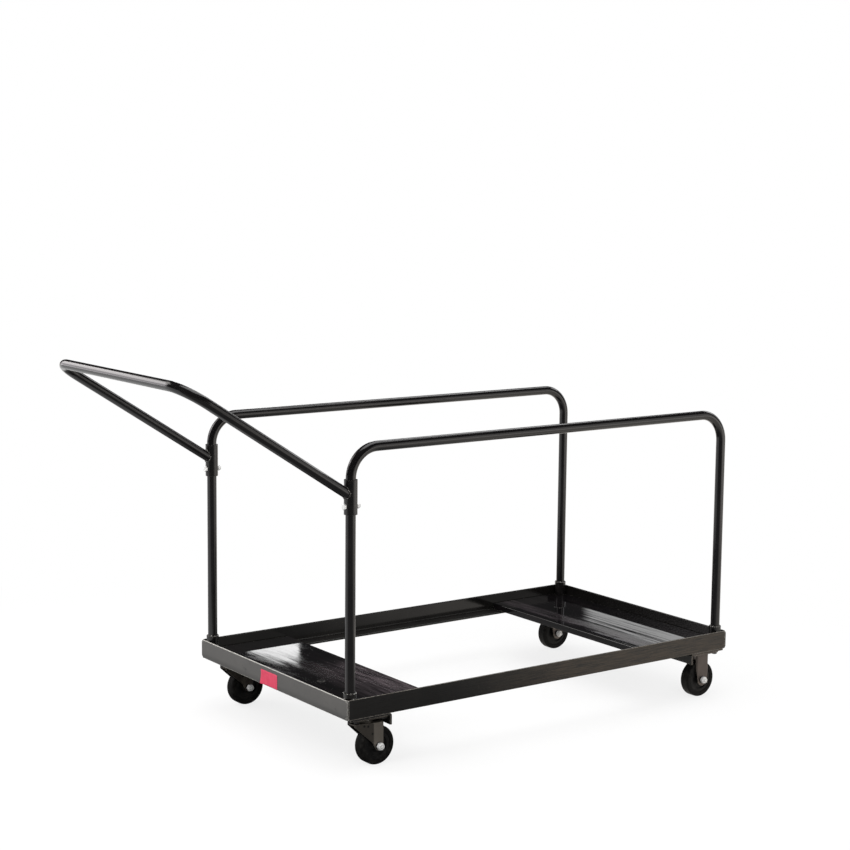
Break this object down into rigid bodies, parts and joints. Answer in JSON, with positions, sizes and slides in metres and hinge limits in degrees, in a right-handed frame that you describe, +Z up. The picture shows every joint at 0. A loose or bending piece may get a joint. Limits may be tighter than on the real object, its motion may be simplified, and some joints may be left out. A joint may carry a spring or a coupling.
{
  "type": "banquet table trolley",
  "caption": "Table trolley: angle-steel base with end deck boards on swivel and rigid casters, tube hoops along both sides and a raised push handle bolted to the posts.",
  "frame": {"origin": "on the floor, under the middle of the whole length and width", "axes": "+X along the length, away from the handle; +Y from the front hoop to the back hoop; +Z up"},
  "size_m": [1.7146, 0.725, 0.9827],
  "materials": {
    "frame_black": "satin black powder coat",
    "deck_gloss_black": "gloss black film on board",
    "fork_gunmetal": "dark gunmetal, semi-gloss",
    "zinc": "bright zinc plate",
    "core_black": "matt black",
    "tyre_black": "matt black rubber"
  },
  "bodies": {
    "base": {"front_rail": "frame_black", "back_rail": "frame_black", "handle_end_rail": "frame_black", "far_end_rail": "frame_black", "handle_end_board": "deck_gloss_black", "far_end_board": "deck_gloss_black", "deck_screws": "zinc", "front_handle_socket": "frame_black", "back_handle_socket": "frame_black", "front_far_socket": "frame_black", "back_far_socket": "frame_black", "front_hoop": "frame_black", "back_hoop": "frame_black", "handle_tube": "frame_black", "front_sleeve": "frame_black", "back_sleeve": "frame_black", "handle_bolts": "zinc", "handle_nuts": "zinc", "handle_end_bearer": "frame_black", "far_end_bearer": "frame_black", "caster_bolts": "frame_black", "front_swivel_plate": "fork_gunmetal", "front_kingpin": "zinc", "back_swivel_plate": "fork_gunmetal", "back_kingpin": "zinc", "front_rigid_plate": "fork_gunmetal", "front_rigid_fork": "fork_gunmetal", "front_rigid_spacer": "zinc", "front_rigid_axle": "zinc", "front_rigid_washer": "frame_black", "front_rigid_nut": "zinc", "back_rigid_plate": "fork_gunmetal", "back_rigid_fork": "fork_gunmetal", "back_rigid_spacer": "zinc", "back_rigid_axle": "zinc", "back_rigid_washer": "frame_black", "back_rigid_nut": "zinc"},
    "front_swivel": {"front_swivel_fork": "fork_gunmetal", "front_swivel_balls": "zinc", "front_swivel_spacer": "zinc", "front_swivel_axle": "zinc", "front_swivel_washer": "frame_black", "front_swivel_nut": "zinc"},
    "back_swivel": {"back_swivel_fork": "fork_gunmetal", "back_swivel_balls": "zinc", "back_swivel_spacer": "zinc", "back_swivel_axle": "zinc", "back_swivel_washer": "frame_black", "back_swivel_nut": "zinc"},
    "front_swivel_wheel": {"front_swivel_core": "core_black", "front_swivel_tyre": "tyre_black"},
    "back_swivel_wheel": {"back_swivel_core": "core_black", "back_swivel_tyre": "tyre_black"},
    "front_rigid_wheel": {"front_rigid_core": "core_black", "front_rigid_tyre": "tyre_black"},
    "back_rigid_wheel": {"back_rigid_core": "core_black", "back_rigid_tyre": "tyre_black"}
  },
  "joints": [
    {"name": "front_swivel_turn", "type": "hinge", "parent": "base", "child": "front_swivel", "pos_m": [-0.34265, -0.3255, 0.119], "axis": [0, 0, 1], "continuous": true},
    {"name": "front_swivel_roll", "type": "hinge", "parent": "front_swivel", "child": "front_swivel_wheel", "pos_m": [-0.31265, -0.3255, 0.05], "axis": [0, 1, 0], "continuous": true},
    {"name": "back_swivel_turn", "type": "hinge", "parent": "base", "child": "back_swivel", "pos_m": [-0.34265, 0.3095, 0.119], "axis": [0, 0, 1], "continuous": true},
    {"name": "back_swivel_roll", "type": "hinge", "parent": "back_swivel", "child": "back_swivel_wheel", "pos_m": [-0.31265, 0.3095, 0.05], "axis": [0, 1, 0], "continuous": true},
    {"name": "front_rigid_roll", "type": "hinge", "parent": "base", "child": "front_rigid_wheel", "pos_m": [0.78535, -0.3255, 0.05], "axis": [0, 1, 0], "continuous": true},
    {"name": "back_rigid_roll", "type": "hinge", "parent": "base", "child": "back_rigid_wheel", "pos_m": [0.78535, 0.3095, 0.05], "axis": [0, 1, 0], "continuous": true}
  ]
}
